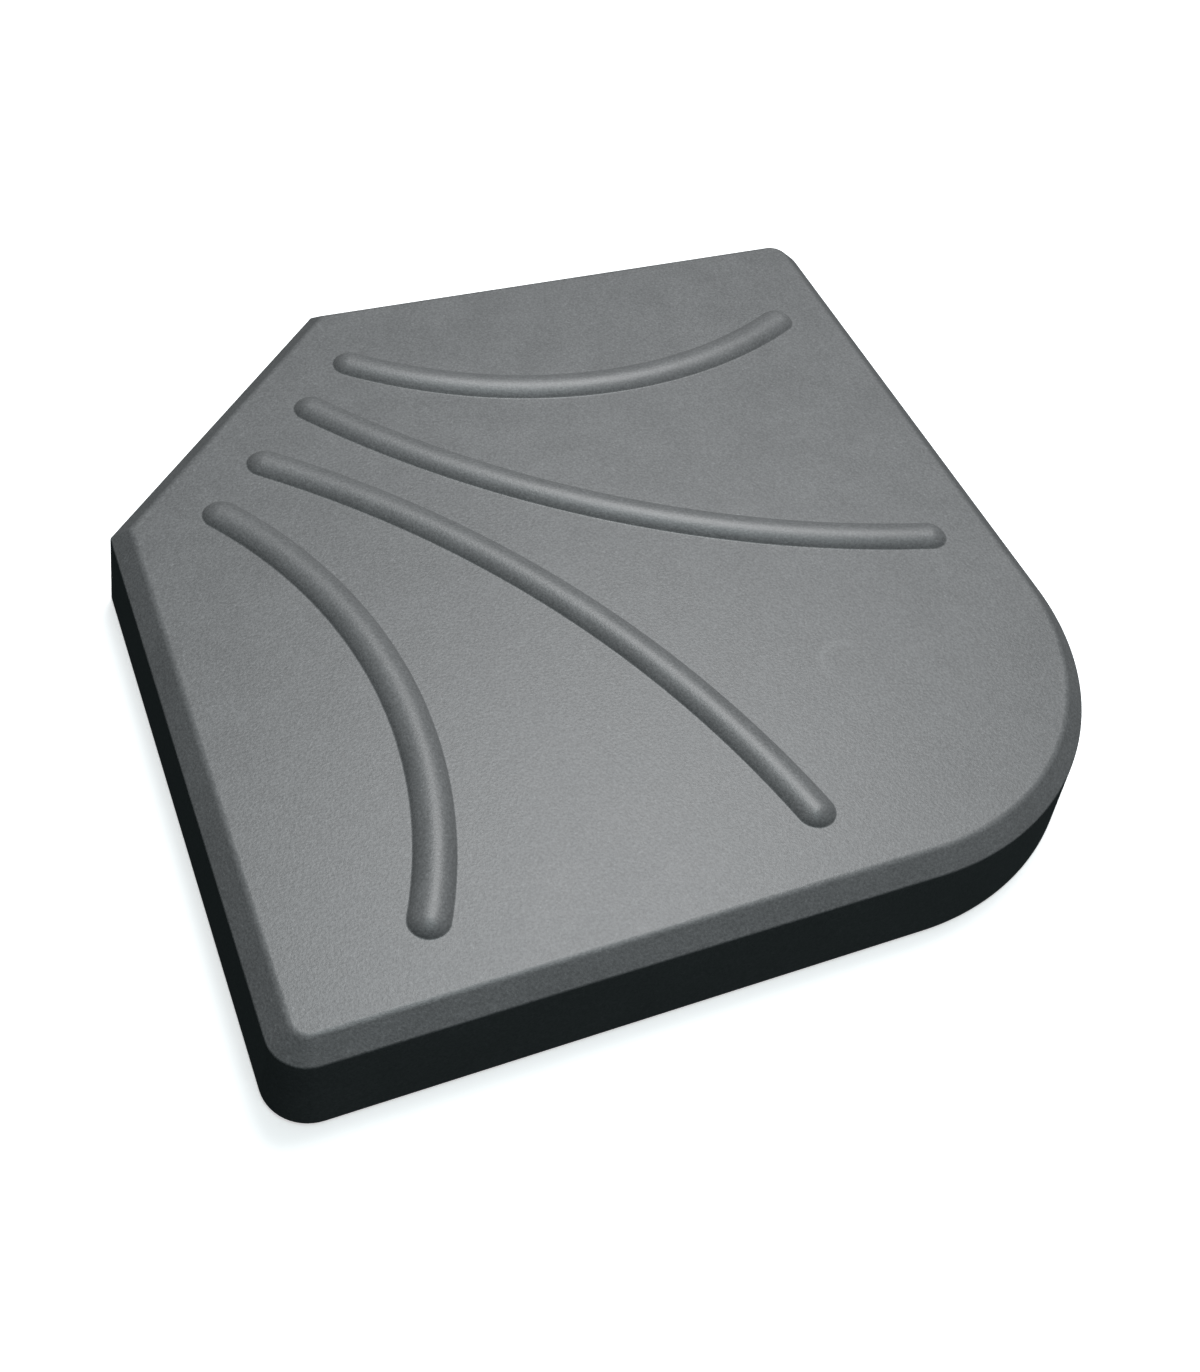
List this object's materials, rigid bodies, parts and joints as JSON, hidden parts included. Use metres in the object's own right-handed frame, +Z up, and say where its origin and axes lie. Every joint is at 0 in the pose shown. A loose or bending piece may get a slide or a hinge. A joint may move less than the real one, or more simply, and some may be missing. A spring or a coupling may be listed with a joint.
{
  "type": "parasol base weight",
  "caption": "Square concrete-filled ballast slab in a grey moulded shell, with one corner cut off, the opposite corner widely rounded, and curved ribs fanning over the top.",
  "frame": {"origin": "on the ground, under the centre of the square that bounds the footprint; the feet stand at z = 0", "axes": "+Z up; X and Y along the straight sides; the cut corner points to -X +Y and the widely rounded corner to +X -Y"},
  "size_m": [0.48, 0.48, 0.0615],
  "materials": {
    "shell": "satin",
    "concrete": "matte",
    "base_plate": "matte",
    "plugs": "satin",
    "feet": "matte",
    "screws": "satin"
  },
  "bodies": {
    "root": {"outer_shell": "shell", "concrete_core": "concrete", "base_plate": "base_plate", "fill_plug": "plugs", "vent_plug_front_left": "plugs", "vent_plug_back_right": "plugs", "vent_plug_cut": "plugs", "foot_front_left": "feet", "foot_front_right": "feet", "foot_back_right": "feet", "foot_cut_back": "feet", "foot_cut_left": "feet", "foot_centre": "feet", "base_plate_screws": "screws"}
  },
  "joints": []
}
